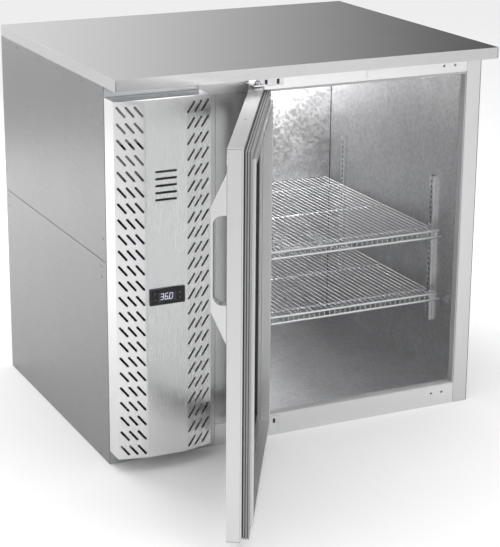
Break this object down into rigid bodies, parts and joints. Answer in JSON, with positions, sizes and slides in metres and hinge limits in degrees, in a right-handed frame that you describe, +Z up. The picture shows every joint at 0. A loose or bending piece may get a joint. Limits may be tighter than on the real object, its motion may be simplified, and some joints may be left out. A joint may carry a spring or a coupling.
{
  "type": "undercounter refrigerator",
  "caption": "Undercounter refrigerator with a side machine section, slotted front panel, one glazed swing door, wire shelves and a steel worktop.",
  "frame": {"origin": "centre of the case's base footprint, on the surface it stands on", "axes": "+X to the right seen from the front, +Y towards the back, +Z up"},
  "size_m": [0.9144, 1.2007, 0.863],
  "materials": {
    "stainless": "satin brushed stainless steel",
    "galvanised": "galvanised sheet",
    "aluminium": "stucco and mill-finish aluminium",
    "foam": "rigid polyurethane foam",
    "chrome": "bright plating",
    "black_plastic": "moulded black plastic",
    "black_enamel": "black enamel",
    "grey_vinyl": "grey ribbed vinyl",
    "glass": "clear double glazing",
    "copper": "copper tube",
    "display": "dark display window"
  },
  "bodies": {
    "case": {"worktop": "stainless", "side_panel_left_lower": "stainless", "side_panel_left_upper": "stainless", "side_panel_right": "stainless", "base_pan": "galvanised", "back_panel": "galvanised", "machine_rear_cover": "galvanised", "machine_front_frame": "stainless", "machine_post": "stainless", "mullion_cover": "stainless", "right_post": "stainless", "top_rail": "stainless", "bottom_rail": "stainless", "breaker_strip": "stainless", "door_switch_plate": "stainless", "insulation": "foam", "machine_bulkhead": "galvanised", "liner": "aluminium", "evaporator_cover": "aluminium", "evaporator_coil": "aluminium", "evaporator_fan_motor": "black_enamel", "pilaster_left_front": "stainless", "pilaster_left_rear": "stainless", "pilaster_right_front": "stainless", "pilaster_right_rear": "stainless", "shelf_clip_lower_left_front": "stainless", "shelf_clip_upper_left_front": "stainless", "shelf_clip_lower_left_rear": "stainless", "shelf_clip_upper_left_rear": "stainless", "shelf_clip_lower_right_front": "stainless", "shelf_clip_upper_right_front": "stainless", "shelf_clip_lower_right_rear": "stainless", "shelf_clip_upper_right_rear": "stainless", "grille_panel": "stainless", "controller_housing": "black_plastic", "controller_display": "display", "condenser_coil": "aluminium", "condenser_shroud": "galvanised", "condenser_fan_motor": "black_enamel", "compressor": "black_enamel", "suction_line": "copper", "condensate_pan": "black_plastic", "power_inlet_gland": "black_plastic", "hinge_bracket_top": "chrome", "hinge_bracket_bottom": "chrome"},
    "door": {"door_frame": "stainless", "glazing_seal": "black_plastic", "glass_unit": "glass", "door_gasket": "grey_vinyl", "door_handle": "stainless"},
    "lock_barrel": {"lock_barrel": "chrome"},
    "lock_bolt": {"lock_bolt": "chrome"},
    "evaporator_fan": {"evaporator_fan": "black_plastic"},
    "condenser_fan": {"condenser_fan": "black_plastic"},
    "shelf_lower": {"shelf_lower": "chrome"},
    "shelf_upper": {"shelf_upper": "chrome"},
    "key_up": {"key_up": "black_plastic"},
    "key_down": {"key_down": "black_plastic"},
    "key_light": {"key_light": "black_plastic"},
    "key_power": {"key_power": "black_plastic"}
  },
  "joints": [
    {"name": "door_hinge", "type": "hinge", "parent": "case", "child": "door", "pos_m": [-0.1201, -0.3658, 0.4245], "axis": [0, 0, 1], "range_deg": [0, 120]},
    {"name": "lock_turn", "type": "hinge", "parent": "door", "child": "lock_barrel", "pos_m": [-0.40209, -0.82122, 0.788], "axis": [-0.866, 0.5, 0], "range_deg": [0, 90]},
    {"name": "lock_bolt_slide", "type": "slide", "parent": "door", "child": "lock_bolt", "axis": [0, 0, 1], "range_m": [0, 0.028]},
    {"name": "evaporator_fan_spin", "type": "hinge", "parent": "case", "child": "evaporator_fan", "pos_m": [-0.1337, 0.104, 0.59], "axis": [1, 0, 0], "continuous": true},
    {"name": "condenser_fan_spin", "type": "hinge", "parent": "case", "child": "condenser_fan", "pos_m": [-0.3392, -0.262, 0.2], "axis": [0, 1, 0], "continuous": true},
    {"name": "shelf_lower_lift", "type": "slide", "parent": "case", "child": "shelf_lower", "axis": [0, 0, 1], "range_m": [0, 0.03]},
    {"name": "shelf_upper_lift", "type": "slide", "parent": "case", "child": "shelf_upper", "axis": [0, 0, 1], "range_m": [0, 0.03]},
    {"name": "key_up_press", "type": "slide", "parent": "case", "child": "key_up", "axis": [0, 1, 0], "range_m": [0, 0.0008], "stiffness_N_per_m": 300, "springref_m": -0.0005},
    {"name": "key_down_press", "type": "slide", "parent": "case", "child": "key_down", "axis": [0, 1, 0], "range_m": [0, 0.0008], "stiffness_N_per_m": 300, "springref_m": -0.0005},
    {"name": "key_light_press", "type": "slide", "parent": "case", "child": "key_light", "axis": [0, 1, 0], "range_m": [0, 0.0008], "stiffness_N_per_m": 300, "springref_m": -0.0005},
    {"name": "key_power_press", "type": "slide", "parent": "case", "child": "key_power", "axis": [0, 1, 0], "range_m": [0, 0.0008], "stiffness_N_per_m": 300, "springref_m": -0.0005}
  ],
  "couplings": [
    {"joint": "lock_turn", "follows": "lock_bolt_slide", "rad_per_m": 56.1}
  ]
}
